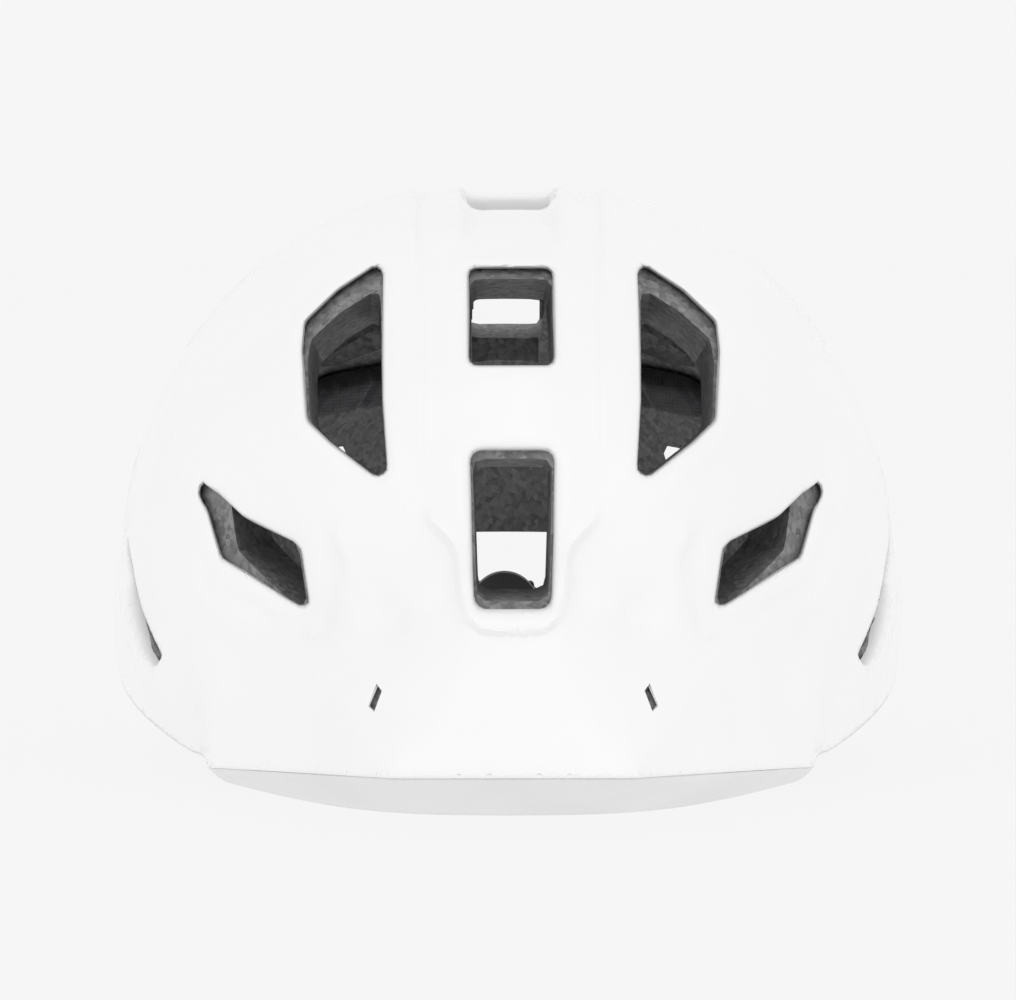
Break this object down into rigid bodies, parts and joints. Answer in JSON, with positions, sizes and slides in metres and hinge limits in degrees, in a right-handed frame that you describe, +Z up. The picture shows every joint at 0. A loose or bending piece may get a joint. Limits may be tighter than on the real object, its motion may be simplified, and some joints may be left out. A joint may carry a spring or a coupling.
{
  "type": "vented helmet",
  "caption": "Vented head-protection helmet with an in-moulded shell and short brim, foam liner, pads, dial-tightened fit ring and buckled chin webbing.",
  "frame": {"origin": "middle of the head opening, on the plane the rim stands on", "axes": "+Z up, -Y towards the brim and the wearer's face, +X towards the wearer's left"},
  "size_m": [0.2098, 0.2907, 0.1528],
  "materials": {
    "shell_white": "glossy white polycarbonate skin",
    "shell_lower": "satin pale rim wrap",
    "foam": "fused bead foam, dark grey",
    "pad": "brushed knit over soft foam",
    "band": "satin moulded nylon",
    "fitting": "fine-grained moulded plastic",
    "screw": "turned steel",
    "grip": "soft-touch rubber",
    "gear": "natural acetal",
    "webbing": "woven polyester webbing",
    "buckle": "satin acetal",
    "lever": "satin acetal, a shade lighter"
  },
  "bodies": {
    "helmet": {"upper_shell": "shell_white", "lower_shell": "shell_lower", "crown_liner": "foam", "base_liner": "foam", "brow_pad": "pad", "left_crown_pad": "pad", "right_crown_pad": "pad", "left_side_pad": "pad", "right_side_pad": "pad", "left_rear_pad": "pad", "right_rear_pad": "pad", "front_band": "band", "temple_pins": "fitting", "strap_anchors": "fitting", "left_front_strap": "webbing", "left_rear_strap": "webbing", "right_front_strap": "webbing", "right_rear_strap": "webbing", "left_divider": "buckle", "right_divider": "buckle", "left_chin_strap": "webbing", "right_chin_strap": "webbing", "chin_pad": "pad", "strap_keeper": "grip", "buckle_socket": "buckle"},
    "ring": {"fit_ring": "band", "dial_housing": "fitting", "housing_cover": "fitting", "housing_screws": "screw"},
    "dial": {"dial_knob": "fitting", "dial_grip": "grip", "pinion": "gear"},
    "tail_left": {"left_tail": "band"},
    "tail_right": {"right_tail": "band"},
    "cam_left": {"left_cam": "lever"},
    "cam_right": {"right_cam": "lever"},
    "plug": {"buckle_plug": "buckle"},
    "prong_front": {"front_prong": "buckle"},
    "prong_rear": {"rear_prong": "buckle"}
  },
  "joints": [
    {"name": "ring_tilt", "type": "hinge", "parent": "helmet", "child": "ring", "pos_m": [0, 0.008, 0.034], "axis": [1, 0, 0], "range_deg": [0, 5]},
    {"name": "dial_turn", "type": "hinge", "parent": "ring", "child": "dial", "pos_m": [0, 0.108, 0.02], "axis": [0, -1, 0], "range_deg": [0, 119]},
    {"name": "left_tail_slide", "type": "slide", "parent": "ring", "child": "tail_left", "axis": [-1, 0, 0], "range_m": [0, 0.01]},
    {"name": "right_tail_slide", "type": "slide", "parent": "ring", "child": "tail_right", "axis": [1, 0, 0], "range_m": [0, 0.01]},
    {"name": "left_cam_lock", "type": "hinge", "parent": "helmet", "child": "cam_left", "pos_m": [0.0555, 0.01, 0.0056], "axis": [0, -1, 0], "range_deg": [0, 62]},
    {"name": "right_cam_lock", "type": "hinge", "parent": "helmet", "child": "cam_right", "pos_m": [-0.0555, 0.01, 0.0056], "axis": [0, 1, 0], "range_deg": [0, 62]},
    {"name": "buckle_release", "type": "slide", "parent": "helmet", "child": "plug", "axis": [-1, 0, 0], "range_m": [0, 0.0155], "deforming": ["right_chin_strap"]},
    {"name": "front_prong_squeeze", "type": "hinge", "parent": "plug", "child": "prong_front", "pos_m": [0, 0.0036, 0.006], "axis": [0, 0, 1], "range_deg": [0, 6], "stiffness_Nm_per_rad": 0.05},
    {"name": "rear_prong_squeeze", "type": "hinge", "parent": "plug", "child": "prong_rear", "pos_m": [0, 0.0164, 0.006], "axis": [0, 0, -1], "range_deg": [0, 6], "stiffness_Nm_per_rad": 0.05}
  ],
  "couplings": [
    {"joint": "left_tail_slide", "follows": "dial_turn", "m_per_rad": 0.0048},
    {"joint": "right_tail_slide", "follows": "dial_turn", "m_per_rad": 0.0048}
  ]
}
